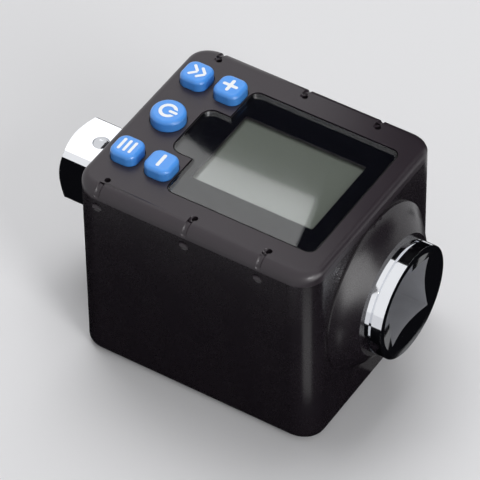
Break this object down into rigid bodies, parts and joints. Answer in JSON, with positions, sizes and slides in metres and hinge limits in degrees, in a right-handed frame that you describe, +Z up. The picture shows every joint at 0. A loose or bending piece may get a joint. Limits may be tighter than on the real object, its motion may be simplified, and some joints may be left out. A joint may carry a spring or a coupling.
{
  "type": "digital torque adapter",
  "caption": "Digital torque adapter: near-black housing round a steel shaft with a half inch male square and a female square socket, with a display window and blue keys.",
  "frame": {"origin": "middle of the housing's underside, which is the plane it rests on", "axes": "+X along the shaft from the male square to the socket, +Y to the back, +Z up through the display"},
  "size_m": [0.076, 0.0454, 0.0467],
  "materials": {
    "housing_plastic": "moulded glass-filled nylon, near black, satin",
    "cover_plastic": "moulded ABS, near black, fine spark texture",
    "tool_steel": "chrome vanadium steel, chromium plated",
    "ball_steel": "polished bearing steel",
    "spring_steel": "drawn spring wire",
    "clip_steel": "stamped spring steel, phosphated",
    "seal_rubber": "moulded nitrile rubber",
    "gauge_foil": "etched foil on polyimide",
    "cable_film": "flat cable in white vinyl",
    "plug_plastic": "moulded white nylon",
    "board_laminate": "glass epoxy laminate with green solder mask",
    "chip_epoxy": "moulded black epoxy",
    "can_steel": "nickel plated can",
    "switch_plastic": "moulded nylon",
    "key_plastic": "moulded ABS, bright blue, gloss, white printed mark",
    "window_acrylic": "clear acrylic with a black printed border behind it",
    "display_glass": "liquid crystal cell under a grey polariser film",
    "frame_plastic": "moulded white polycarbonate",
    "guide_plastic": "moulded light guide",
    "strip_rubber": "layered conductive silicone",
    "contact_nickel": "stamped nickel plated steel",
    "cell_jacket": "printed sleeve over a steel can",
    "lead_vinyl": "stranded wire in red vinyl",
    "door_plastic": "moulded ABS, near black, satin",
    "screw_steel": "zinc plated steel"
  },
  "bodies": {
    "adapter": {"housing": "housing_plastic", "top_cover": "cover_plastic", "torque_shaft": "tool_steel", "detent_spring": "spring_steel", "retaining_ring": "clip_steel", "drive_end_seal": "seal_rubber", "socket_end_seal": "seal_rubber", "strain_gauges": "gauge_foil", "gauge_cable": "cable_film", "gauge_connector": "plug_plastic", "main_board": "board_laminate", "microcontroller": "chip_epoxy", "bridge_amplifier": "chip_epoxy", "crystal_can": "can_steel", "buzzer": "chip_epoxy", "tact_switches": "switch_plastic", "display_window": "window_acrylic", "lcd_panel": "display_glass", "lcd_frame": "frame_plastic", "backlight_guide": "guide_plastic", "lcd_strips": "strip_rubber", "positive_contact": "contact_nickel", "negative_contact": "contact_nickel", "link_contact": "contact_nickel", "battery_springs": "spring_steel", "front_cell": "cell_jacket", "rear_cell": "cell_jacket", "battery_leads": "lead_vinyl", "housing_screws": "screw_steel", "board_screws": "screw_steel"},
    "set_key": {"set_button": "key_plastic", "set_plunger": "switch_plastic"},
    "plus_key": {"plus_button": "key_plastic", "plus_plunger": "switch_plastic"},
    "power_key": {"power_button": "key_plastic", "power_plunger": "switch_plastic"},
    "mode_key": {"mode_button": "key_plastic", "mode_plunger": "switch_plastic"},
    "minus_key": {"minus_button": "key_plastic", "minus_plunger": "switch_plastic"},
    "ball": {"detent_ball": "ball_steel"},
    "door": {"battery_door": "door_plastic"}
  },
  "joints": [
    {"name": "set_press", "type": "slide", "parent": "adapter", "child": "set_key", "axis": [0, 0, -1], "range_m": [0, 0.0005], "stiffness_N_per_m": 3000, "springref_m": -0.0002},
    {"name": "plus_press", "type": "slide", "parent": "adapter", "child": "plus_key", "axis": [0, 0, -1], "range_m": [0, 0.0005], "stiffness_N_per_m": 3000, "springref_m": -0.0002},
    {"name": "power_press", "type": "slide", "parent": "adapter", "child": "power_key", "axis": [0, 0, -1], "range_m": [0, 0.0005], "stiffness_N_per_m": 3000, "springref_m": -0.0002},
    {"name": "mode_press", "type": "slide", "parent": "adapter", "child": "mode_key", "axis": [0, 0, -1], "range_m": [0, 0.0005], "stiffness_N_per_m": 3000, "springref_m": -0.0002},
    {"name": "minus_press", "type": "slide", "parent": "adapter", "child": "minus_key", "axis": [0, 0, -1], "range_m": [0, 0.0005], "stiffness_N_per_m": 3000, "springref_m": -0.0002},
    {"name": "ball_press", "type": "slide", "parent": "adapter", "child": "ball", "axis": [0, 0, -1], "range_m": [0, 0.0008], "stiffness_N_per_m": 4000, "springref_m": -0.001, "deforming": ["detent_spring"]},
    {"name": "door_slide", "type": "slide", "parent": "adapter", "child": "door", "axis": [-1, 0, 0], "range_m": [0, 0.048]}
  ]
}
